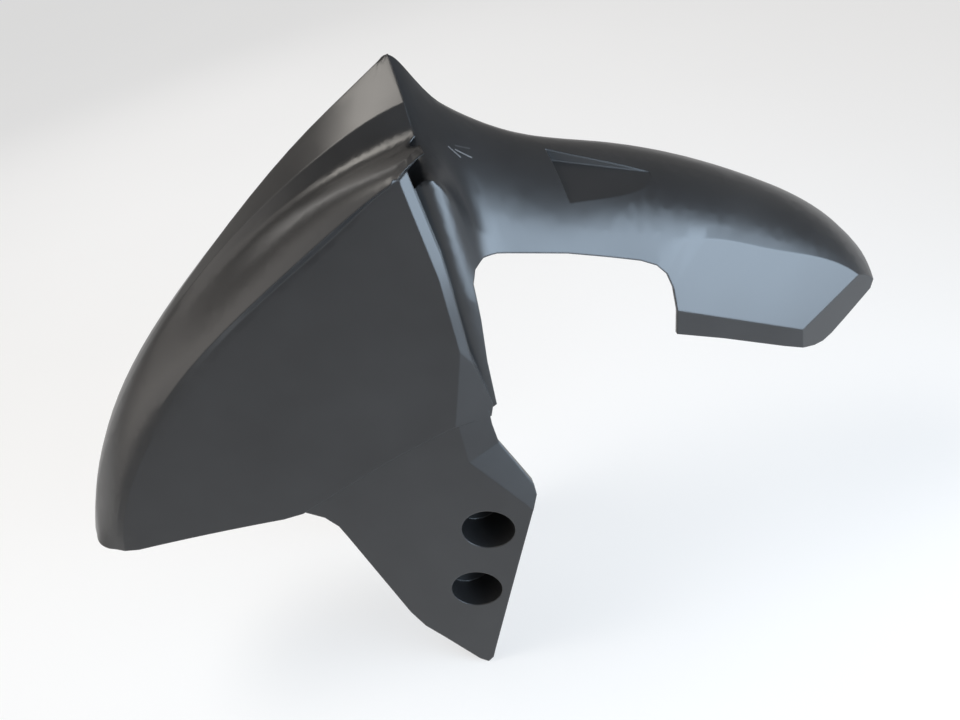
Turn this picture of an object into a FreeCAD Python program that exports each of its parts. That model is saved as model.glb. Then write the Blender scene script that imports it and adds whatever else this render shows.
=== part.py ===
"""Front mudguard of a scooter: one moulded shell, mirrored about the wheel plane.

Millimetres. X points forward, Y to the left side of the vehicle, Z up. The curves are worked out
about the wheel axle; the finished shell is moved so that its frame sits at the middle of its underside.
"""
import FreeCAD, Part
import Sketcher
import math
import os
import re

V = FreeCAD.Vector

# named sizes
SIZES = {
    "wall": 2.6,
    "step": 2.0,
    "overlap": 4.0,
    "axle_x": -4.13,
    "axle_z": 60.0,
    "panel_width": 70.0,
    "panel_top": 297.0,
    "far": 400.0,
    "panel_flare": 0.30,
    "panel_lean": 0.09,
    "panel_curve": 0.0004,
    "panel_foot": 120.0,
    "hood_rear": 3.0,
    "hollow_lead": -1.5,
    "panel_rear": 7.5,
    "strip_x": 12.5,
    "strip_top_x": 17.6,
    "strip_top_z": 290.0,
    "strip_bend_z": 237.0,
    "strip_low_z": 193.0,
    "strip_angle": 42.0,
    "facet_angle": 28.0,
    "seam_rear": 5.0,
    "seam_height": 144.0,
    "corner_x": 126.0,
    "corner_z": 104.0,
    "rim_height": 102.5,
    "nose_front": 264.0,
    "leg_depth": 11.0,
    "bevel_angle": 24.0,
    "bolt_pitch_x": 17.5,
    "bolt_pitch_z": 51.0,
    "bolt_x": 25.0,
    "bolt_z": 64.0,
    "well_radius": 15.5,
    "well_floor": 47.0,
    "floor_wall": 4.0,
    "bolt_radius": 4.3,
    "notch_front": 0.8,
    "notch_top": 233.0,
    "notch_rear": 112.0,
    "crease_top_x": 27.2,
    "crease_x": 24.5,
    "crease_low_z": 119.0,
    "crease_end_x": -1.0,
    "crease_end_z": 81.0,
    "scoop_depth": 7.0,
    "scoop_front_x": 65.0,
    "scoop_top_y": 10.0,
    "scoop_top_z": 261.0,
    "scoop_low_x": 68.5,
    "scoop_low_y": 38.7,
    "scoop_low_z": 238.5,
    "scoop_end_x": 118.0,
    "scoop_end_y": 21.0,
    "scoop_end_z": 234.5,
    "tail_low_z": 141.0,
    "tail_side_x": 113.0,
    "tail_side_y": 61.0,
    "tail_side_z": 166.5,
    "tail_taper": 0.207,
    "tail_lean": 0.267,
    "lip_corner_x": 187.7,
    "lip_corner_z": 123.7,
    "lip_end_x": 231.6,
    "lip_end_z": 140.8,
    "lip_angle": 30.0,
    "lip_end_angle": 25.0,
    "tail_end_x": 246.5,
    "tail_end_z": 137.0,
    "tail_end_lean": 14.0,
}

# hood cross-sections: angle from straight ahead, half-width and radius of each point of the outline,
# then the radius at which the outline meets the flat side panel
HOOD = [
    (90.6, (0, 335), (24, 313.5), (30, 302), (38, 298.5), (54, 301), (72, 299), (69, 294.5), 291),
    (80, (0, 309.5), (19, 301), (24, 293.5), (31, 290), (46, 290), (61, 282), (58, 278.5), 275),
    (70, (0, 292.5), (12.5, 288.5), (16.5, 283.5), (23, 280.5), (37, 277.5), (52.5, 268.5), (49.8, 265), 261),
    (60, (0, 282), (8, 280.5), (12, 278.3), (19, 274.5), (32, 269.5), (44.5, 262.5), (43.8, 259.5), 255),
    (49, (0, 277.5), (8, 277), (13, 275.8), (20, 273), (30, 267.5), (37.5, 261), (39.4, 257), 251),
    (37, (0, 277), (8.5, 276.6), (14, 275.5), (21, 272.8), (30, 267.5), (35.5, 262), (37.6, 258), 251),
    (26, (0, 277), (9, 276.4), (15, 275.2), (22, 272.4), (30, 267.2), (35, 262), (37.4, 258), 250),
    (12, (0, 277), (9, 276.4), (15, 275), (22, 272), (30, 266.8), (35.5, 261.5), (38.5, 257), 249),
]

# tail cross-sections, in the same way: ridge, two points of the crown, crease, top and foot of the side
TAIL = [
    (85.5, (0, 315), (20, 300), (36, 286), (55, 279), (64, 220), (69, 120)),
    (87.5, (0, 321.5), (20, 304), (36, 289), (58, 282), (66, 220), (69.5, 120)),
    (89.4, (0, 330.5), (20, 308), (37, 292), (61, 285), (67.5, 220), (70, 120)),
    (90.8, (0, 319), (20, 302), (36, 289), (59, 275), (67, 215), (69.5, 120)),
    (93, (0, 300), (19, 291), (35, 275), (52, 251), (65, 205), (69, 130)),
    (97, (0, 284), (18, 277.5), (34, 263), (49, 240), (63, 205), (66, 150)),
    (103, (0, 271.5), (18, 266.5), (34, 254), (49, 233), (62, 203), (64, 170)),
    (112, (0, 267), (18, 263.5), (34, 253), (49, 231), (61.5, 200), (61.5, 180)),
    (125, (0, 269), (18, 266), (34, 257), (53, 232), (66, 205), (66, 185)),
    (135, (0, 274.5), (18, 271.5), (34, 262.5), (52, 238), (66, 212), (66, 190)),
    (145, (0, 282.5), (18, 280.3), (34, 273.5), (50, 256), (66, 225), (66, 200)),
    (153, (0, 284.3), (18, 282.8), (34, 277.3), (50, 266), (66, 235), (66, 210)),
    (161, (0, 282), (18, 280.5), (34, 275), (50, 264), (66, 233), (66, 208)),
]

doc = FreeCAD.newDocument("front_mudguard")
sheet = doc.addObject("Spreadsheet::Sheet", "sizes")


def put(row, name, value):
    """Write one named value into the sheet."""
    sheet.set("A%d" % row, name)
    sheet.set("B%d" % row, str(value))
    sheet.setAlias("B%d" % row, name)


row = 1
for name, value in SIZES.items():
    put(row, name, value)
    row += 1
for group, table in (("hood", HOOD), ("tail", TAIL)):
    for i, station in enumerate(table):
        put(row, "%s%d_angle" % (group, i), station[0])
        row += 1
        for j, point in enumerate(station[1:]):
            if isinstance(point, tuple):
                put(row, "%s%d_w%d" % (group, i, j), point[0])
                put(row + 1, "%s%d_r%d" % (group, i, j), point[1])
                row += 2
            else:
                put(row, "%s%d_meet" % (group, i), point)
                row += 1
doc.recompute()


def get(name):
    """Read one named value from the sheet."""
    return float(sheet.get(name))


def narrowing(x):
    """How much the side has come in at a distance ahead of the axle."""
    return get("panel_flare") * x - get("panel_curve") * x * x


def panel_face(x, z):
    """Half-width of the side panel at a place in the side view."""
    return get("panel_width") + get("panel_lean") * (get("panel_top") - z) - narrowing(x)


def panel_width(angle, radius):
    """Half-width of the side panel at an angle and radius about the axle."""
    t = math.radians(angle)
    return panel_face(radius * math.cos(t), radius * math.sin(t))


def outline(group, table, i):
    """Outer half outline of one section: the table's points, and the panel's two where it has them."""
    angle = get("%s%d_angle" % (group, i))
    points = []
    for j, point in enumerate(table[i][1:]):
        if isinstance(point, tuple):
            points.append((get("%s%d_w%d" % (group, i, j)), get("%s%d_r%d" % (group, i, j))))
        else:
            meet = get("%s%d_meet" % (group, i))
            foot = get("panel_foot")
            for share in (0, 0.35, 0.7, 1):
                radius = meet + share * (foot - meet)
                points.append((panel_width(angle, radius), radius))
    return points


def inset(points, depth):
    """Move an open outline inwards by a depth, corner by corner."""
    moved = []
    for i, (w, r) in enumerate(points):
        before = points[max(i - 1, 0)]
        after = points[min(i + 1, len(points) - 1)]
        normals = []
        for a, b in ((before, (w, r)), ((w, r), after)):
            run = math.hypot(b[0] - a[0], b[1] - a[1])
            if run > 0:
                normals.append(((b[1] - a[1]) / run, -(b[0] - a[0]) / run))
        nx = sum(n[0] for n in normals)
        ny = sum(n[1] for n in normals)
        size = math.hypot(nx, ny)
        nx, ny = nx / size, ny / size
        reach = depth / max(nx * normals[0][0] + ny * normals[0][1], 0.5)
        moved.append((w + nx * reach, r + ny * reach))
    moved[0] = (0.0, points[0][1] - depth)
    return moved


def spacing(outlines, a, b):
    """Share of the way along one run of the outline at which its points lie, averaged over all sections."""
    shares = [0.0] * (b - a + 1)
    for points in outlines:
        lengths = [0.0]
        for before, after in zip(points[a:b], points[a + 1:b + 1]):
            lengths.append(lengths[-1] + math.hypot(after[0] - before[0], after[1] - before[1]))
        for k, length in enumerate(lengths):
            shares[k] += length / lengths[-1] / len(outlines)
    return shares


def section(label, points, angle, corners, foot, outlines):
    """Closed half section in the plane through the axle line at an angle from straight ahead."""
    t = math.radians(angle)

    def at(w, r):
        return V(r * math.cos(t), w, r * math.sin(t))

    edges = []
    marks = [0] + corners + [len(points) - 1]
    for a, b in zip(marks, marks[1:]):
        run = [at(w, r) for w, r in points[a:b + 1]]
        if len(run) == 2:
            edges.append(Part.makeLine(run[0], run[1]))
        else:
            curve = Part.BSplineCurve()
            curve.interpolate(Points=run, Parameters=spacing(outlines, a, b))
            edges.append(curve.toShape())
    w_end, r_end = points[-1]
    low = at(w_end, foot)
    base = at(0, foot)
    edges.append(Part.makeLine(at(w_end, r_end), low))
    edges.append(Part.makeLine(low, base))
    edges.append(Part.makeLine(base, at(*points[0])))
    wire = doc.addObject("Part::Feature", label)
    wire.Shape = Part.Wire(edges)
    return wire


def loft(label, group, table, corners, depth, foot, lead=0):
    """Solid through all the sections of a table, drawn in by a depth; a hollow starts a little ahead."""
    outlines = [outline(group, table, i) for i in range(len(table))]
    if depth:
        outlines = [inset(points, depth) for points in outlines]
    sections = []
    for i, points in enumerate(outlines):
        name = "%s_section_%d" % (label, i)
        angle = get("%s%d_angle" % (group, i))
        if depth and i == 0:
            angle += lead
        sections.append(section(name, points, angle, corners, foot, outlines))
    solid = doc.addObject("Part::Loft", label)
    solid.Sections = sections
    solid.Solid = True
    solid.Ruled = False
    return solid


def profile(label, plane, points):
    """Closed sketch of straight lines whose corners follow expressions in the sheet's names."""
    sketch = doc.addObject("Sketcher::SketchObject", label)
    if plane == "side":
        sketch.Placement = FreeCAD.Placement(V(0, 0, 0), FreeCAD.Rotation(V(1, 0, 0), 90))
    corners = []
    for px, py in points:
        corners.append(V(value_of(px), value_of(py), 0))
    count = len(corners)
    for i in range(count):
        sketch.addGeometry(Part.LineSegment(corners[i], corners[(i + 1) % count]), False)
    for i in range(count):
        sketch.addConstraint(Sketcher.Constraint("Coincident", i, 2, (i + 1) % count, 1))
    for i, (px, py) in enumerate(points):
        for kind, text, number in (("DistanceX", px, corners[i].x), ("DistanceY", py, corners[i].y)):
            index = sketch.addConstraint(Sketcher.Constraint(kind, -1, 1, i, 1, number))
            sketch.setExpression("Constraints[%d]" % index, linked(text))
    return sketch


def linked(text):
    """Expression with every named value taken from the sheet."""
    return re.sub(r"[a-z][a-z_]*[0-9a-z_]*", lambda m: "sizes." + m.group(0), str(text))


def value_of(text):
    """Number that an expression stands for."""
    total = re.sub(r"[a-z][a-z_]*[0-9a-z_]*", lambda m: repr(get(m.group(0))), str(text))
    return float(FreeCAD.Units.Quantity(total))


def extrude(label, sketch, direction, start, end):
    """Straight sweep of a sketch between two offsets along its direction."""
    body = doc.addObject("Part::Extrusion", label)
    body.Base = sketch
    body.DirMode = "Custom"
    body.Dir = direction
    body.Solid = True
    body.setExpression("LengthFwd", linked(end))
    body.setExpression("LengthRev", linked("-(%s)" % start))
    return body


def common(label, *parts):
    """Shared volume of several solids."""
    body = doc.addObject("Part::MultiCommon", label)
    body.Shapes = list(parts)
    return body


def fuse(label, *parts):
    """Union of several solids."""
    body = doc.addObject("Part::MultiFuse", label)
    body.Shapes = list(parts)
    return body


def cut(label, base, tool):
    """First solid less the second."""
    body = doc.addObject("Part::Cut", label)
    body.Base = base
    body.Tool = tool
    return body


def half_space(label, point, outward, sink):
    """Large block resting on a plane; the plane is moved against its outward direction by a depth."""
    normal = V(outward)
    normal.normalize()
    turn = FreeCAD.Rotation(UP, normal)
    size = get("far")
    start = point - normal * sink + turn.multVec(V(-size / 2, -size / 2, 0))
    block = doc.addObject("Part::Box", label)
    block.setExpression("Length", "sizes.far")
    block.setExpression("Width", "sizes.far")
    block.setExpression("Height", "sizes.far")
    block.Placement = FreeCAD.Placement(start, turn)
    return block


def bevels(label, creases, tilt, face, towards, sink):
    """Blocks outside bevel planes, each turned in about a crease on a side face, then sunk by a depth."""
    blocks = []
    for i, (low, high) in enumerate(creases):
        x, z = low
        point = V(x, face(x, z), z)
        normal = V(face(x - 0.5, z) - face(x + 0.5, z), 1, face(x, z - 0.5) - face(x, z + 0.5))
        normal.normalize()
        along = V(high[0], face(*high), high[1]) - point
        along.normalize()
        away = along.cross(normal)
        if away.dot(towards) < 0:
            away = away * -1
        turn = math.radians(tilt[i])
        outward = normal * math.cos(turn) + away * math.sin(turn)
        blocks.append(half_space("%s_%d" % (label, i), point, outward, sink))
    return blocks


SIDE = V(0, 1, 0)
UP = V(0, 0, 1)
REAR = V(-1, 0, 0)
DOWN = V(0, 0, -1)
HOOD_CORNERS = [1, 2, 5, 6, 7]
TAIL_CORNERS = [3, 4]

# the two closed volumes of the hood and of the tail, and their hollow sides
hood_outer = loft("hood_outer", "hood", HOOD, HOOD_CORNERS, 0, get("panel_foot") - 6)
hood_inner = loft("hood_inner", "hood", HOOD, HOOD_CORNERS, get("wall"), get("panel_foot") - 20)
tail_outer = loft("tail_outer", "tail", TAIL, TAIL_CORNERS, 0, 100)
tail_inner = loft("tail_inner", "tail", TAIL, TAIL_CORNERS, get("wall"), 90, get("hollow_lead"))

# side view of the hood and panel: rear edges, moulded seam above the leg, rim of the nose
NOSE_RIM = [
    ("corner_x + 12", "rim_height"),
    ("nose_front - 18", "rim_height"),
    ("nose_front - 9", "rim_height + 3"),
    ("nose_front - 3", "rim_height + 10"),
    ("nose_front + 17", "rim_height + 34"),
]
SEAM = [
    ("seam_rear", "seam_height"),
    ("crease_top_x", "seam_height + 3"),
    ("seam_rear + 55", "seam_height - 10"),
    ("seam_rear + 88", "seam_height - 25"),
    ("corner_x", "corner_z"),
]


def hood_side(label, inward):
    """Side view of the hood; the hollow stops short of its rear edges."""
    points = [("hood_rear + %s" % inward, "far")]
    points.append(("hood_rear + %s" % inward, "panel_top + 1"))
    points.append(("panel_rear + 5.5 + %s" % inward, "panel_top - 3"))
    points.append(("panel_rear + 2.5 + %s" % inward, "panel_top - 31"))
    points.append(("panel_rear + 0.5 + %s" % inward, "panel_top - 49"))
    points.append(("panel_rear + %s" % inward, "panel_top - 70"))
    points.append(("panel_rear + %s" % inward, "seam_height + 44"))
    points.append(("seam_rear - 2.5 + %s" % inward, "seam_height + 7"))
    points.append(("seam_rear + %s" % inward, "seam_height"))
    if inward == "0":
        points += SEAM[1:] + NOSE_RIM
    else:
        points.append(("seam_rear + %s" % inward, "rim_height - 30"))
        points.append(("far", "rim_height - 30"))
    points.append(("far", "far"))
    return profile(label, "side", points)


hood_keep = extrude("hood_keep", hood_side("hood_outline", "0"), SIDE, "-10", "far")
hood_hollow = extrude("hood_hollow", hood_side("hood_hollow_outline", "overlap"), SIDE, "-10", "far")
hood_blank = common("hood_blank", hood_outer, hood_keep)
hood_space = common("hood_space", hood_inner, hood_hollow)

# rear of the side panel: a strip turned inwards, above a facet that runs down to the seam
STRIP = (get("strip_x"), get("strip_low_z"))
STRIP_BEND = (get("strip_x"), get("strip_bend_z"))
PANEL_CREASES = [
    (STRIP_BEND, (get("strip_top_x"), get("strip_top_z"))),
    (STRIP, STRIP_BEND),
    ((get("crease_top_x"), get("seam_height")), STRIP),
]
PANEL_TILTS = [get("strip_angle"), get("strip_angle"), get("facet_angle")]

def panel_trim(label, sink):
    """What is cut from the side panel behind its strip and facet."""
    blocks = bevels(label + "_plane", PANEL_CREASES, PANEL_TILTS, panel_face, REAR, sink)
    return fuse(label, *blocks)


panel_bevels = panel_trim("panel_bevels", 0)
panel_backs = panel_trim("panel_backs", get("wall"))
hood_solid = cut("hood_solid", hood_blank, panel_bevels)
hood_void = cut("hood_void", hood_space, panel_backs)

# side view of the tail: pillar behind the panel, notch, lower edge
tail_outline = profile("tail_outline", "side", [
    ("40", "far"),
    ("40", "seam_height - 8"),
    ("seam_rear", "seam_height + 3"),
    ("notch_front - 0.5", "seam_height + 5"),
    ("notch_front - 1.5", "seam_height + 34"),
    ("notch_front - 4", "notch_top - 29"),
    ("notch_front - 5", "notch_top - 8"),
    ("notch_front - 8", "notch_top - 2"),
    ("notch_front - 14", "notch_top"),
    ("notch_front - 22", "notch_top - 1.5"),
    ("notch_front - 59", "notch_top - 15"),
    ("-notch_rear + 15", "notch_top - 32"),
    ("-notch_rear + 7", "notch_top - 37"),
    ("-notch_rear + 2", "notch_top - 44"),
    ("-notch_rear", "notch_top - 53"),
    ("-notch_rear + 1", "tail_low_z + 8"),
    ("-notch_rear - 27", "tail_low_z - 6"),
    ("-notch_rear - 65", "tail_low_z - 27"),
    ("-lip_corner_x - 3", "lip_corner_z - 16.5"),
    ("-lip_corner_x - 11", "lip_corner_z - 20"),
    ("-lip_corner_x - 18", "lip_corner_z - 21"),
    ("-lip_corner_x - 25", "lip_corner_z - 19"),
    ("-lip_end_x + 8", "lip_end_z - 30"),
    ("-tail_end_x + 2", "lip_end_z - 17.5"),
    ("-tail_end_x - 4", "lip_end_z - 15"),
    ("-far", "lip_end_z - 15"),
    ("-far", "far"),
])
tail_keep = extrude("tail_keep", tail_outline, SIDE, "-10", "far")


def tail_face(x, z):
    """Half-width of the tail's leaning side face at a place in the side view."""
    across = get("tail_taper") * (x + get("tail_side_x"))
    return get("tail_side_y") + across - get("tail_lean") * (z - get("tail_side_z"))


SIDE_START = (-get("tail_side_x"), get("tail_side_z"))
LIP_CORNER = (-get("lip_corner_x"), get("lip_corner_z"))
LIP_END = (-get("lip_end_x"), get("lip_end_z"))
TAIL_CREASES = [(SIDE_START, LIP_CORNER), (SIDE_START, LIP_CORNER), (LIP_CORNER, LIP_END)]
TAIL_TILTS = [0, get("lip_angle"), get("lip_end_angle")]
END_POINT = V(-get("tail_end_x"), 0, get("tail_end_z"))
END_LEAN = math.radians(get("tail_end_lean"))
END_NORMAL = V(-math.cos(END_LEAN), 0, -math.sin(END_LEAN))


def tail_trim(label, sink):
    """What is cut from the tail behind the notch: outside its side face, turned-in lip and end."""
    blocks = bevels(label + "_plane", TAIL_CREASES, TAIL_TILTS, tail_face, DOWN, sink)
    blocks.append(half_space(label + "_end", END_POINT, END_NORMAL, sink))
    zone = doc.addObject("Part::Box", label + "_zone")
    zone.setExpression("Length", "sizes.far")
    zone.setExpression("Width", "sizes.far")
    zone.setExpression("Height", "sizes.far")
    zone.setExpression("Placement.Base.x", "-sizes.far - sizes.notch_rear + 16")
    zone.setExpression("Placement.Base.y", "-sizes.far / 2")
    return common(label, fuse(label + "_planes", *blocks), zone)


# scoop pressed into each flank of the tail: deep at its front wall, running out to the rear
scoop_end = V(-get("scoop_end_x"), get("scoop_end_y"), get("scoop_end_z"))
scoop_top = V(-get("scoop_front_x"), get("scoop_top_y"), get("scoop_top_z") - get("scoop_depth"))
scoop_low = V(-get("scoop_low_x"), get("scoop_low_y"), get("scoop_low_z"))
scoop_normal = (scoop_top - scoop_end).cross(scoop_low - scoop_end)


def scoop(label, margin, sink):
    """Three-sided pocket of the scoop, widened by a margin and sunk by a depth."""
    plan = profile(label + "_plan", "plan", [
        ("-scoop_front_x + %s" % margin, "scoop_top_y - %s" % margin),
        ("-scoop_low_x + %s" % margin, "1.3 * scoop_low_y + %s" % margin),
        ("-scoop_end_x - %s" % margin, "1.3 * scoop_low_y + %s" % margin),
        ("-scoop_end_x - %s" % margin, "scoop_end_y - %s" % margin),
    ])
    prism = extrude(label + "_prism", plan, UP, "100", "far")
    return common(label, prism, half_space(label + "_floor", scoop_end, scoop_normal, sink))


tail_blank = common("tail_blank", tail_outer, tail_keep)
tail_faced = cut("tail_faced", tail_blank, tail_trim("tail_trim", 0))
tail_solid = cut("tail_solid", tail_faced, scoop("scoop", "0", 0))
tail_space = cut("tail_space", tail_inner, tail_trim("tail_back", get("wall")))
tail_void = cut("tail_void", tail_space, scoop("scoop_back", "wall", get("wall")))

shell_outer = fuse("shell_outer", hood_solid, tail_solid)
shell_void = fuse("shell_void", hood_void, tail_void)
shell = cut("shell", shell_outer, shell_void)

# fork leg: a shallow tray below the seam
leg_outline = profile("leg_outline", "side", [
    ("corner_x", "corner_z + 5 * overlap"),
    ("corner_x", "corner_z - overlap"),
    ("corner_x - 10", "corner_z - 11"),
    ("corner_x - 16", "corner_z - 20"),
    ("corner_x - 19", "corner_z - 31"),
    ("corner_x - 38", "corner_z - 105"),
    ("corner_x - 44", "corner_z - 120"),
    ("corner_x - 53", "corner_z - 133"),
    ("corner_x - 71", "corner_z - 160"),
    ("corner_x - 76", "corner_z - 164"),
    ("corner_x - 80", "corner_z - 160"),
    ("corner_x - 84", "corner_z - 149"),
    ("corner_x - 129", "corner_z - 29"),
    ("corner_x - 134", "corner_z - 19"),
    ("corner_x - 134", "corner_z - 12"),
    ("corner_x - 129", "corner_z + 1"),
    ("seam_rear", "seam_height - 19"),
    ("seam_rear + 1", "seam_height - 5"),
    ("seam_rear", "seam_height + 20"),
])
leg_inset = doc.addObject("Part::Offset2D", "leg_inset")
leg_inset.Source = leg_outline
leg_inset.Join = 2
leg_inset.setExpression("Value", linked("-wall"))


def leg_face(x):
    """Half-width of the leg's face, one step inside the panel at the height of the seam."""
    return panel_face(x, get("seam_height")) - get("step")


def leg_plan(label, front, back):
    """Plan view of the leg between two depths below its face, curved as the panel is."""
    edges = []
    ends = []
    for depth in (front, back):
        run = []
        for i in range(6):
            x = -40 + 40 * i
            run.append(V(x, leg_face(x) - depth, 0))
        curve = Part.BSplineCurve()
        curve.interpolate(run)
        edges.append(curve.toShape())
        ends.append(run)
    edges.append(Part.makeLine(ends[0][0], ends[1][0]))
    edges.append(Part.makeLine(ends[0][-1], ends[1][-1]))
    face = doc.addObject("Part::Feature", label)
    face.Shape = Part.Face(Part.Wire(Part.__sortEdges__(edges)))
    return face


leg_slab = extrude("leg_slab", leg_plan("leg_plan", 0, get("leg_depth")), UP, "-100", "far")
inner_plan = leg_plan("leg_plan_inner", get("wall"), get("leg_depth") + 20)
leg_slab_inner = extrude("leg_slab_inner", inner_plan, UP, "-110", "far")
leg_block = extrude("leg_block", leg_outline, SIDE, "0", "far")
leg_block_inner = extrude("leg_block_inner", leg_inset, SIDE, "-1", "far")
below_seam = profile("below_seam", "side", [
    ("-40", "seam_height + overlap"),
    ("seam_rear", "seam_height + overlap"),
    ("crease_top_x", "seam_height + 3 + overlap"),
    ("seam_rear + 55", "seam_height - 10 + overlap"),
    ("seam_rear + 88", "seam_height - 25 + overlap"),
    ("corner_x", "corner_z + overlap"),
    ("corner_x + 20", "corner_z - 10"),
    ("corner_x + 20", "-far"),
    ("-40", "-far"),
])
leg_keep = extrude("leg_keep", below_seam, SIDE, "0", "far")


def leg_level(x, z):
    """Half-width of the leg's face, the same at every height."""
    return leg_face(x)


LEG_CREASES = [
    ((get("crease_x"), get("crease_low_z")), (get("crease_x"), get("seam_height"))),
    ((get("crease_x"), get("crease_low_z")), (get("crease_end_x"), get("crease_end_z"))),
]
leg_full = common("leg_full", leg_block, leg_slab)
LEG_TILTS = [get("bevel_angle"), get("bevel_angle")]
leg_bevels = common("leg_bevels", *bevels("leg_bevel", LEG_CREASES, LEG_TILTS, leg_level, REAR, 0))
leg_outer = cut("leg_outer", leg_full, leg_bevels)
leg_hollow = common("leg_hollow", leg_block_inner, leg_slab_inner)
leg_backs = common("leg_backs", *bevels("leg_back", LEG_CREASES, LEG_TILTS, leg_level, REAR, get("wall")))
leg_inner = cut("leg_inner", leg_hollow, leg_backs)
leg_tray = cut("leg_tray", leg_outer, leg_inner)
leg = common("leg", leg_tray, leg_keep)


def barrel(label, radius, x, z, start, end):
    """Cylinder along the width of the part between two half-widths."""
    body = doc.addObject("Part::Cylinder", label)
    body.setExpression("Radius", linked(radius))
    body.setExpression("Height", linked("(%s) - (%s)" % (end, start)))
    body.Placement = FreeCAD.Placement(V(0, 0, 0), FreeCAD.Rotation(V(1, 0, 0), -90))
    body.setExpression("Placement.Base.x", linked(x))
    body.setExpression("Placement.Base.y", linked(start))
    body.setExpression("Placement.Base.z", linked(z))
    return body


# bolt wells: a cup behind the leg's face, with a bolt hole in its floor
cup_slab = extrude("cup_slab", leg_plan("cup_plan", 0.2, 60), UP, "-100", "far")
cups = []
bores = []
for which, x, z in (("upper", "bolt_x", "bolt_z"),
                    ("lower", "bolt_x + bolt_pitch_x", "bolt_z - bolt_pitch_z")):
    cup = barrel("cup_" + which, "well_radius + wall", x, z, "well_floor - floor_wall", "far")
    cups.append(common("cup_%s_trimmed" % which, cup, cup_slab))
    bores.append(barrel("well_" + which, "well_radius", x, z, "well_floor", "far"))
    bores.append(barrel("hole_" + which, "bolt_radius", x, z, "0", "far"))

half_solid = fuse("half_solid", shell, leg, *cups)
half_bores = fuse("half_bores", *bores)
half = cut("half", half_solid, half_bores)
mirror = doc.addObject("Part::Mirroring", "mirror")
mirror.Source = half
mirror.Normal = SIDE
mudguard = fuse("mudguard", half, mirror)
mudguard.setExpression("Placement.Base.x", linked("axle_x"))
mudguard.setExpression("Placement.Base.z", linked("axle_z"))
mudguard.Label = "mudguard"
doc.recompute()

for item in doc.Objects:
    if "Invalid" in item.State or "Error" in item.State:
        raise RuntimeError("%s did not build" % item.Label)
    if hasattr(item, "Shape") and (item.Shape.isNull() or not item.Shape.isValid()):
        raise RuntimeError("%s has no sound shape" % item.Label)

os.makedirs("parts", exist_ok=True)
mudguard.Shape.exportStep("parts/mudguard.step")
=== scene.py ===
"""Motorcycle front mudguard in a plain studio: one moulded shell of satin black plastic."""
import logging
import math
from dataclasses import dataclass, field
from enum import Enum
from functools import partial
from typing import Callable, Iterable

import bpy
from mathutils import Matrix, Vector


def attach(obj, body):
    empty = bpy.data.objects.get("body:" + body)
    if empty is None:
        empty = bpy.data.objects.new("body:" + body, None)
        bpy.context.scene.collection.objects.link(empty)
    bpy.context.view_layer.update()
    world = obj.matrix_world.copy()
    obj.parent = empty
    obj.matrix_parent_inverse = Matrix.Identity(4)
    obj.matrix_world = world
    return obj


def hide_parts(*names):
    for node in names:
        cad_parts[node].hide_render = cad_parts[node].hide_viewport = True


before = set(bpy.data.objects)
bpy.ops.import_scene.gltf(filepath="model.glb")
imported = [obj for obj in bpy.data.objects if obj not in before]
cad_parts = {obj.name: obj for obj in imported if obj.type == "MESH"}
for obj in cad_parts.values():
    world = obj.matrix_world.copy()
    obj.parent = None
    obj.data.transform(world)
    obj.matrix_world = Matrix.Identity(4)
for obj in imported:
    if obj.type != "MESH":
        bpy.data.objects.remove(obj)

LOG = logging.getLogger("mudguard")

Triple = tuple[float, float, float]


class Pattern(Enum):
    """Noise patterns of the finishes: how many cells in one metre, and how fine their detail."""

    PATCH = (14.0, 3.0)
    CLOUD = (42.0, 4.0)
    GRAIN = (2300.0, 1.0)
    FIBRE = (3.0, 2.0)


class Ray(Enum):
    """Which light path a surface is met by, as the Light Path node names it."""

    CAMERA = "Is Camera Ray"
    GLOSSY = "Is Glossy Ray"
    TRANSMISSION = "Is Transmission Ray"


class Side(Enum):
    """A side of the guard, as the sign of its Y coordinate."""

    LEFT = 1.0
    RIGHT = -1.0


class Signal:
    """A shader socket that adds Math nodes when it is used in an expression."""

    def __init__(self, tree: bpy.types.NodeTree, socket: bpy.types.NodeSocket) -> None:
        """Wrap one output socket.

        Args:
            tree: node tree that the socket belongs to.
            socket: the output socket.
        """
        self.tree = tree
        self.socket = socket

    def _maths(self, operation: str, *values: "Signal | float") -> "Signal":
        """Add one Math node.

        Args:
            operation: the node's operation.
            values: what goes into its sockets, in order.

        Returns:
            The node's result.
        """
        node = self.tree.nodes.new("ShaderNodeMath")
        node.operation = operation
        for slot, value in enumerate(values):
            if isinstance(value, Signal):
                self.tree.links.new(value.socket, node.inputs[slot])
            else:
                node.inputs[slot].default_value = value
        return Signal(self.tree, node.outputs[0])

    def __add__(self, other: "Signal | float") -> "Signal":
        """Sum of two signals."""
        return self._maths("ADD", self, other)

    def __radd__(self, other: float) -> "Signal":
        """Sum with a number on the left."""
        return self._maths("ADD", other, self)

    def __sub__(self, other: "Signal | float") -> "Signal":
        """Difference of two signals."""
        return self._maths("SUBTRACT", self, other)

    def __rsub__(self, other: float) -> "Signal":
        """Difference with a number on the left."""
        return self._maths("SUBTRACT", other, self)

    def __mul__(self, other: "Signal | float") -> "Signal":
        """Product of two signals."""
        return self._maths("MULTIPLY", self, other)

    def __rmul__(self, other: float) -> "Signal":
        """Product with a number on the left."""
        return self._maths("MULTIPLY", other, self)

    def span(self, low: float, high: float) -> "Signal":
        """Stretch the range between two values to 0 and 1, held there.

        Args:
            low: value that becomes 0.
            high: value that becomes 1.

        Returns:
            The stretched signal.
        """
        scaled = (self - low) * (1.0 / (high - low))
        scaled.socket.node.use_clamp = True
        return scaled


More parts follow.
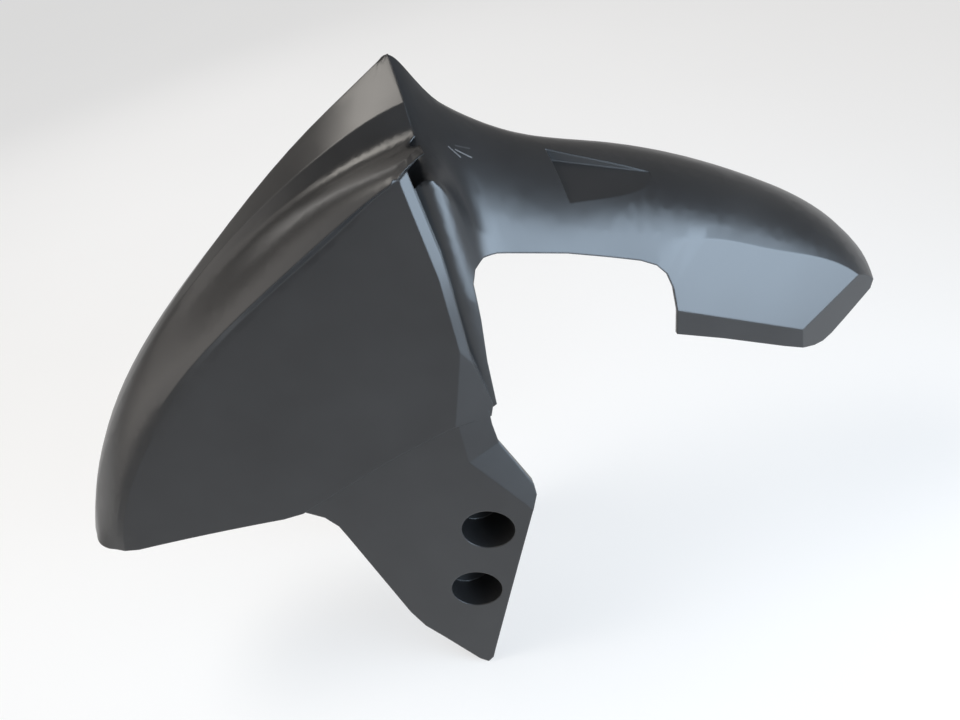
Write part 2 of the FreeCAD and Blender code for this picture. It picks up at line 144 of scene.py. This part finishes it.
@dataclass
class NodeBench:
    """A node tree with one way of adding a node."""

    tree: bpy.types.NodeTree

    def feed(self, node: bpy.types.Node, **values: object) -> None:
        """Set or link a node's sockets.

        Args:
            node: a node of the tree.
            values: socket values or signals, by socket identifier with underscores for spaces.
        """
        sockets = {socket.identifier.replace(" ", "_"): socket for socket in node.inputs}
        for name, value in values.items():
            if isinstance(value, Signal):
                self.tree.links.new(value.socket, sockets[name])
            else:
                sockets[name].default_value = value

    def add(self, kind: str, settings: dict[str, object] | None = None, output: str | None = None,
            **values: object) -> Signal:
        """Add a node, set it up and feed its sockets.

        Args:
            kind: the node's type, without its ShaderNode prefix.
            settings: the node's own properties, set before its sockets.
            output: identifier of the output that is returned, or None for the first.
            values: socket values or signals, by socket identifier with underscores for spaces.

        Returns:
            The chosen output.
        """
        node = self.tree.nodes.new("ShaderNode" + kind)
        for name, value in (settings or {}).items():
            setattr(node, name, value)
        self.feed(node, **values)
        if output is None:
            return Signal(self.tree, node.outputs[0])
        results = {socket.identifier: socket for socket in node.outputs}
        return Signal(self.tree, results[output])

    def noise(self, pattern: Pattern, place: Signal) -> Signal:
        """Add a noise pattern.

        Args:
            pattern: which pattern.
            place: where the surface point is.

        Returns:
            The pattern's value, from 0 to 1.
        """
        cells, detail = pattern.value
        return self.add("TexNoise", Vector=place, Scale=cells, Detail=detail)

    def blend(self, amount: Signal, low: Triple | Signal, high: Triple) -> Signal:
        """Mix two colours.

        Args:
            amount: 0 for the first colour and 1 for the second.
            low: first colour, in linear red, green and blue, or a colour from another node.
            high: second colour, in linear red, green and blue.

        Returns:
            The mixed colour.
        """
        first = low if isinstance(low, Signal) else (*low, 1.0)
        return self.add("Mix", {"data_type": "RGBA"}, "Result_Color", Factor_Float=amount,
                        A_Color=first, B_Color=(*high, 1.0))


@dataclass(frozen=True)
class PaintedGlint:
    """A short light stroke painted into the skin: a painted glint standing in for a small
    reflection, also a little rougher.
    """

    start: Triple
    end: Triple
    half_width: float
    strength: float

    def mask(self, bench: NodeBench, place: Signal) -> Signal:
        """Draw the stroke.

        Args:
            bench: the material's nodes.
            place: where the surface point is.

        Returns:
            The stroke's strength in its middle, falling to 0 at its rim.
        """
        run = Vector(self.end) - Vector(self.start)
        offset = bench.add("VectorMath", {"operation": "SUBTRACT"}, "Vector",
                           Vector=place, Vector_001=self.start)
        reach = bench.add("VectorMath", {"operation": "DOT_PRODUCT"}, "Value",
                          Vector=offset, Vector_001=tuple(run))
        along = (reach * (1.0 / run.length_squared)).span(0.0, 1.0)
        nearest = bench.add("VectorMath", {"operation": "SCALE"}, "Vector",
                            Vector=tuple(run), Scale=along)
        away = bench.add("VectorMath", {"operation": "DISTANCE"}, "Value",
                         Vector=offset, Vector_001=nearest)
        return (1.0 - away.span(0.0, self.half_width)) * self.strength


@dataclass(frozen=True)
class MouldedPlastic:
    """Satin black moulded plastic: fine grain, a cloudy skin, softened edges and a few painted
    glints.
    """

    name: str = "satin_black_plastic"
    deep: Triple = (0.0115, 0.0112, 0.0115)
    pale: Triple = (0.0175, 0.0169, 0.0170)
    patch_share: float = 0.6
    contrast: tuple[float, float] = (0.32, 0.68)
    roughness: float = 0.32
    unevenness: float = 0.05
    grain_height: float = 0.000012
    grain_strength: float = 0.5
    edge_radius: float = 0.0013
    edge_samples: int = 6
    # Painted glints: short strokes on the tail's front are lightened to this colour and made a
    # little rougher, standing in for small reflections there.
    glint_tone: Triple = (0.15, 0.145, 0.145)
    glint_roughness: float = 0.2
    painted_glints: tuple[PaintedGlint, ...] = (
        PaintedGlint((-0.0167, 0.0278, 0.3453), (-0.0212, 0.0293, 0.3386), 0.0006, 0.8),
        PaintedGlint((-0.0199, 0.0272, 0.3424), (-0.0270, 0.0272, 0.3357), 0.0006, 0.9),
        PaintedGlint((-0.0206, 0.0252, 0.3437), (-0.0275, 0.0234, 0.3392), 0.0006, 0.2),
    )

    def build(self) -> bpy.types.Material:
        """Make the material.

        Returns:
            The finished material.
        """
        material = bpy.data.materials.new(self.name)
        material.use_nodes = True
        bench = NodeBench(material.node_tree)
        place = bench.add("TexCoord", output="Object")
        skin = self.cloudiness(bench, place)
        glint_amount = self.glint_strokes(bench, place)
        # The skin's tone is lifted to the painted glint colour along the strokes.
        tone = bench.blend(glint_amount, bench.blend(skin, self.deep, self.pale), self.glint_tone)
        matt = (skin * self.unevenness + glint_amount * self.glint_roughness
                + (self.roughness - self.unevenness / 2))
        bench.feed(material.node_tree.nodes["Principled BSDF"], Base_Color=tone, Roughness=matt,
                   Normal=self.relief(bench, place))
        return material

    def cloudiness(self, bench: NodeBench, place: Signal) -> Signal:
        """Draw the uneven tone of the skin.

        Args:
            bench: the material's nodes.
            place: where the surface point is.

        Returns:
            0 where the skin is deepest and 1 where it is palest.
        """
        patches = bench.noise(Pattern.PATCH, place)
        clouds = bench.noise(Pattern.CLOUD, place)
        mixed = patches * self.patch_share + clouds * (1.0 - self.patch_share)
        return mixed.span(*self.contrast)

    def glint_strokes(self, bench: NodeBench, place: Signal) -> Signal:
        """Draw the scuffs.

        Args:
            bench: the material's nodes.
            place: where the surface point is.

        Returns:
            How strongly the painted glints show, from 0 to 1.
        """
        strokes = [glint_mark.mask(bench, place) for glint_mark in self.painted_glints]
        glint_amount = strokes[0]
        for stroke in strokes[1:]:
            glint_amount = glint_amount + stroke
        return glint_amount.span(0.0, 1.0)

    def relief(self, bench: NodeBench, place: Signal) -> Signal:
        """Soften the edges and lay the grain over them.

        Args:
            bench: the material's nodes.
            place: where the surface point is.

        Returns:
            The surface's facing.
        """
        grain = bench.noise(Pattern.GRAIN, place)
        edges = bench.add("Bevel", {"samples": self.edge_samples}, Radius=self.edge_radius)
        return bench.add("Bump", Strength=self.grain_strength, Distance=self.grain_height,
                         Height=grain, Normal=edges)


@dataclass(frozen=True)
class StudioPaper:
    """Matt white paper of the studio floor, lifted towards white where it is the background."""

    name: str = "studio_paper"
    white: Triple = (0.84, 0.84, 0.84)
    shade: Triple = (0.81, 0.81, 0.81)
    contrast: tuple[float, float] = (0.3, 0.7)
    roughness: float = 0.9
    specular: float = 0.1
    lift: float = 0.6

    def build(self) -> bpy.types.Material:
        """Make the material.

        Returns:
            The finished material.
        """
        material = bpy.data.materials.new(self.name)
        material.use_nodes = True
        tree = material.node_tree
        bench = NodeBench(tree)
        fibre = bench.noise(Pattern.FIBRE, bench.add("TexCoord", output="Object"))
        tone = bench.blend(fibre.span(*self.contrast), self.shade, self.white)
        paper = tree.nodes["Principled BSDF"]
        bench.feed(paper, Base_Color=tone, Roughness=self.roughness,
                   Specular_IOR_Level=self.specular)
        seen = bench.add("LightPath", output=Ray.CAMERA.value)
        mirrored = bench.add("LightPath", output=Ray.GLOSSY.value)
        through = bench.add("LightPath", output=Ray.TRANSMISSION.value)
        amount = (seen + mirrored + through).span(0.0, 1.0) * self.lift
        glow = bench.add("Emission", Color=(1.0, 1.0, 1.0, 1.0), Strength=1.0)
        mixed = bench.add("MixShader", Fac=amount, Shader=Signal(tree, paper.outputs[0]),
                          Shader_001=glow)
        bench.feed(tree.nodes["Material Output"], Surface=mixed)
        return material


@dataclass(frozen=True)
class Zone:
    """A box-shaped place on the skin, given for the left side."""

    low: Triple
    high: Triple

    def holds(self, point: bpy.types.MeshVertex, side: Side) -> bool:
        """Tell whether a point lies in the place.

        Args:
            point: a point of the skin.
            side: the side that the place is taken on.

        Returns:
            True where it does.
        """
        place = (point.co.x, point.co.y * side.value, point.co.z)
        return all(low <= value <= high for low, value, high in zip(self.low, place, self.high))

    def either(self, point: bpy.types.MeshVertex) -> bool:
        """Tell whether a point lies in the place on one of the two sides."""
        return any(self.holds(point, side) for side in Side)


@dataclass(frozen=True)
class Nudge:
    """A small shift of the skin's outer points in one place."""

    name: str
    zone: Zone
    facing: Triple
    shift: Triple
    sides: tuple[Side, ...] = (Side.LEFT, Side.RIGHT)
    least_rise: float = 0.2
    least_match: float = 0.2

    def wants(self, point: bpy.types.MeshVertex, side: Side) -> bool:
        """Tell whether a point is one of those to shift.

        Args:
            point: a point of the skin.
            side: the side that is being shifted.

        Returns:
            True where it lies in the place, on the outside, and faces the right way.
        """
        facing = Vector((self.facing[0], self.facing[1] * side.value, self.facing[2]))
        outward = point.normal.z > self.least_rise and point.normal.dot(facing) > self.least_match
        return outward and self.zone.holds(point, side)


@dataclass
class Shell:
    """The moulded guard: hood, side panels, tail and fork legs in one sheet."""

    node: str = "mudguard"
    weld: float = 0.00002
    crease_angle: float = 13.0
    face_weight: int = 60
    pillar_head: Zone = Zone((-0.026, 0.044, 0.300), (0.005, 0.0635, 0.350))
    tail_shoulder: Zone = Zone((-0.140, 0.044, 0.259), (-0.100, 0.0520, 0.268))
    hood_peak: Zone = Zone((0.0002, -0.001, 0.3820), (0.0095, 0.0050, 0.3920))
    nudges: tuple[Nudge, ...] = (
        Nudge("flank_end", Zone((-0.002, 0.054, 0.354), (0.016, 0.068, 0.362)),
              facing=(-0.43, 0.89, 0.15), shift=(-0.0004, 0.0034, -0.001)),
        Nudge("peak_tip", Zone((-0.0016, -0.0004, 0.3908), (-0.0008, 0.0004, 0.3920)),
              facing=(0.0, 0.0, 1.0), shift=(0.0003, 0.0, -0.0006), sides=(Side.LEFT,)),
        Nudge("peak_shoulder", Zone((0.0044, -0.0004, 0.3878), (0.0060, 0.0004, 0.3890)),
              facing=(0.0, 0.0, 1.0), shift=(0.0, 0.0, 0.0004), sides=(Side.LEFT,)),
    )
    finish: MouldedPlastic = field(default_factory=MouldedPlastic)

    def build(self) -> bpy.types.Object:
        """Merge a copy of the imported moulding, mark its creases and dress it.

        Returns:
            The finished shell.
        """
        piece = self.copied()
        self.merged(piece)
        for nudge in self.nudges:
            self.nudged(piece, nudge)
        self.creased(piece)
        piece.data.materials.clear()
        piece.data.materials.append(self.finish.build())
        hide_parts(self.node)
        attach(piece, "root")
        return piece

    def copied(self) -> bpy.types.Object:
        """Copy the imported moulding.

        Returns:
            The copy, selected and active.
        """
        bpy.ops.object.select_all(action="DESELECT")
        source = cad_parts[self.node]
        piece = source.copy()
        piece.data = source.data.copy()
        piece.name = "mudguard_shell"
        piece.parent = None
        for key in list(piece.keys()):
            del piece[key]
        bpy.context.scene.collection.objects.link(piece)
        bpy.context.view_layer.objects.active = piece
        piece.select_set(True)
        return piece

    def merged(self, piece: bpy.types.Object) -> None:
        """Join the copy's loose triangles into one closed skin.

        Args:
            piece: the copy, active.
        """
        bpy.ops.object.mode_set(mode="EDIT")
        bpy.ops.mesh.select_all(action="SELECT")
        bpy.ops.mesh.remove_doubles(threshold=self.weld)
        bpy.ops.mesh.customdata_custom_splitnormals_clear()
        bpy.ops.object.mode_set(mode="OBJECT")

    def chosen(self, piece: bpy.types.Object,
               wanted: Callable[[bpy.types.MeshVertex], bool]) -> int:
        """Select some of the skin's points, and stay in edit mode.

        Args:
            piece: the merged copy, active and in object mode.
            wanted: says whether a point is selected.

        Returns:
            How many points are selected.
        """
        bpy.ops.object.mode_set(mode="EDIT")
        bpy.ops.mesh.select_all(action="DESELECT")
        bpy.ops.mesh.select_mode(type="VERT")
        bpy.ops.object.mode_set(mode="OBJECT")
        count = 0
        for point in piece.data.vertices:
            point.select = wanted(point)
            count += int(point.select)
        bpy.ops.object.mode_set(mode="EDIT")
        return count

    def nudged(self, piece: bpy.types.Object, nudge: Nudge) -> None:
        """Shift a few of the skin's points, alike on each of the nudge's sides.

        Args:
            piece: the merged copy, active.
            nudge: which points, and how far.
        """
        for side in nudge.sides:
            count = self.chosen(piece, partial(nudge.wants, side=side))
            along, across, up = nudge.shift
            bpy.ops.transform.translate(value=(along, across * side.value, up))
            bpy.ops.object.mode_set(mode="OBJECT")
            LOG.info("%s: %d points shifted", nudge.name, count)

    def blended(self, piece: bpy.types.Object, zone: Zone) -> None:
        """Let two surfaces flow into each other where the moulding has no crease.

        Args:
            piece: the merged copy, active.
            zone: the place, blended on both sides.
        """
        self.chosen(piece, zone.either)
        bpy.ops.mesh.mark_sharp(clear=True)
        bpy.ops.object.mode_set(mode="OBJECT")

    def creased(self, piece: bpy.types.Object) -> None:
        """Shade the skin smoothly between its creases.

        Args:
            piece: the merged copy, active.
        """
        bpy.ops.object.shade_smooth_by_angle(angle=math.radians(self.crease_angle))
        for zone in (self.pillar_head, self.tail_shoulder, self.hood_peak):
            self.blended(piece, zone)
        weights = piece.modifiers.new("even_faces", "WEIGHTED_NORMAL")
        weights.keep_sharp = True
        weights.weight = self.face_weight
        bpy.ops.object.modifier_apply(modifier="even_faces")


@dataclass
class Lamp:
    """A soft box that faces the guard, brightest in its middle."""

    name: str
    azimuth: float
    height: float
    distance: float
    wide: float
    tall: float
    radiance: float
    tint: Triple
    core: float
    spread: float
    aim: Triple = (0.0, 0.0, 0.22)
    middle: Triple = (0.5, 0.5, 0.0)
    rim: float = 0.5

    def build(self) -> bpy.types.Object:
        """Place the lamp.

        Returns:
            The lamp.
        """
        data = bpy.data.lights.new(self.name, "AREA")
        data.shape = "RECTANGLE"
        data.size = self.wide
        data.size_y = self.tall
        # An even box of this many watts has this radiance when its light spreads all round.
        data.energy = self.radiance * math.pi * self.wide * self.tall
        data.color = self.tint
        data.spread = math.radians(self.spread)
        self.softened(data)
        lamp = bpy.data.objects.new(self.name, data)
        bearing = math.radians(self.azimuth)
        across = Vector((math.cos(bearing), math.sin(bearing), 0.0)) * self.distance
        lamp.location = across + Vector((0.0, 0.0, self.height))
        lamp.rotation_euler = (lamp.location - Vector(self.aim)).to_track_quat("Z", "Y").to_euler()
        lamp.visible_camera = False
        bpy.context.scene.collection.objects.link(lamp)
        return lamp

    def softened(self, data: bpy.types.Light) -> None:
        """Let the light fade from the middle of the box to its rim.

        Args:
            data: the lamp's own light.
        """
        data.use_nodes = True
        bench = NodeBench(data.node_tree)
        spot = bench.add("NewGeometry", output="Parametric")
        offset = bench.add("VectorMath", {"operation": "DISTANCE"}, "Value",
                           Vector=spot, Vector_001=self.middle)
        fade = bench.add("MapRange", {"interpolation_type": "SMOOTHSTEP"}, Value=offset,
                         From_Min=self.core * self.rim, From_Max=self.rim, To_Min=1.0, To_Max=0.0)
        bench.feed(data.node_tree.nodes["Emission"], Strength=fade)


@dataclass
class Studio:
    """Pale floor, dim room and soft boxes."""

    floor_size: float = 16.0
    floor_level: float = -0.0005
    room_level: float = 0.30
    room_tint: Triple = (1.0, 0.97, 0.94)
    lamps: tuple[Lamp, ...] = (
        Lamp("side_box", azimuth=130.0, height=0.30, distance=0.80, wide=1.30, tall=1.15,
             radiance=3.8, tint=(0.77, 0.97, 1.19), core=0.40, spread=110.0),
        Lamp("front_box", azimuth=5.0, height=0.80, distance=1.50, wide=2.40, tall=1.80,
             radiance=0.95, tint=(1.05, 1.0, 0.95), core=0.30, spread=140.0),
        Lamp("top_box", azimuth=-5.0, height=1.35, distance=0.52, wide=1.00, tall=0.90,
             radiance=4.8, tint=(1.05, 1.0, 0.93), core=0.30, spread=140.0),
        Lamp("far_box", azimuth=-74.0, height=0.75, distance=1.50, wide=2.20, tall=1.30,
             radiance=1.05, tint=(1.03, 1.0, 0.97), core=0.30, spread=140.0),
    )

    def build(self) -> None:
        """Lay the floor, fill the room with even light and place the lamps."""
        self.floor()
        self.room()
        for lamp in self.lamps:
            lamp.build()
            LOG.info("lamp %s placed", lamp.name)

    def floor(self) -> None:
        """Lay the floor just under the tips of the fork legs."""
        bpy.ops.object.select_all(action="DESELECT")
        bpy.ops.mesh.primitive_plane_add(size=self.floor_size,
                                         location=(0.0, 0.0, self.floor_level))
        sheet = bpy.context.active_object
        sheet.name = "studio_floor"
        bpy.ops.object.transform_apply(location=True, rotation=True, scale=True)
        sheet.data.materials.append(StudioPaper().build())
        LOG.info("floor laid, %.1f m across", self.floor_size)

    def room(self) -> None:
        """Fill the room with even light."""
        world = bpy.data.worlds.new("studio_room")
        world.use_nodes = True
        NodeBench(world.node_tree).feed(world.node_tree.nodes["Background"],
                                        Color=(*self.room_tint, 1.0), Strength=self.room_level)
        bpy.context.scene.world = world


@dataclass
class StillCamera:
    """Camera at the photograph's place: high on the guard's left, turned a little on its axis."""

    target: Triple = (-0.00413, 0.025, 0.210)
    back: Triple = (0.05714, 0.81716, 0.57358)
    right: Triple = (-0.99756, 0.06976, 0.0)
    upright: Triple = (-0.04001, -0.57218, 0.81915)
    roll: float = 15.0
    distance: float = 0.581
    lens: float = 36.75
    film: float = 36.0

    def build(self) -> bpy.types.Object:
        """Place the camera and make it the scene's own.

        Returns:
            The camera.
        """
        data = bpy.data.cameras.new("still_camera")
        data.lens = self.lens
        data.sensor_width = self.film
        camera = bpy.data.objects.new("still_camera", data)
        turn = math.radians(self.roll)
        right, upright, back = Vector(self.right), Vector(self.upright), Vector(self.back)
        across = right * math.cos(turn) - upright * math.sin(turn)
        upward = right * math.sin(turn) + upright * math.cos(turn)
        turned = Matrix((across, upward, back)).transposed().to_4x4()
        placed = Matrix.Translation(Vector(self.target) + back * self.distance)
        camera.matrix_world = placed @ turned
        bpy.context.scene.collection.objects.link(camera)
        bpy.context.scene.camera = camera
        return camera


def main() -> None:
    """Build the guard and its studio, in order."""
    logging.basicConfig(level=logging.INFO, format="%(name)s: %(message)s")
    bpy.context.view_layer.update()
    shell = Shell().build()
    LOG.info("%s: %d faces", shell.name, len(shell.data.polygons))
    Studio().build()
    camera = StillCamera().build()
    LOG.info("%s placed", camera.name)
    bpy.context.scene.view_settings.view_transform = "Standard"


if __name__ == "__main__":
    main()
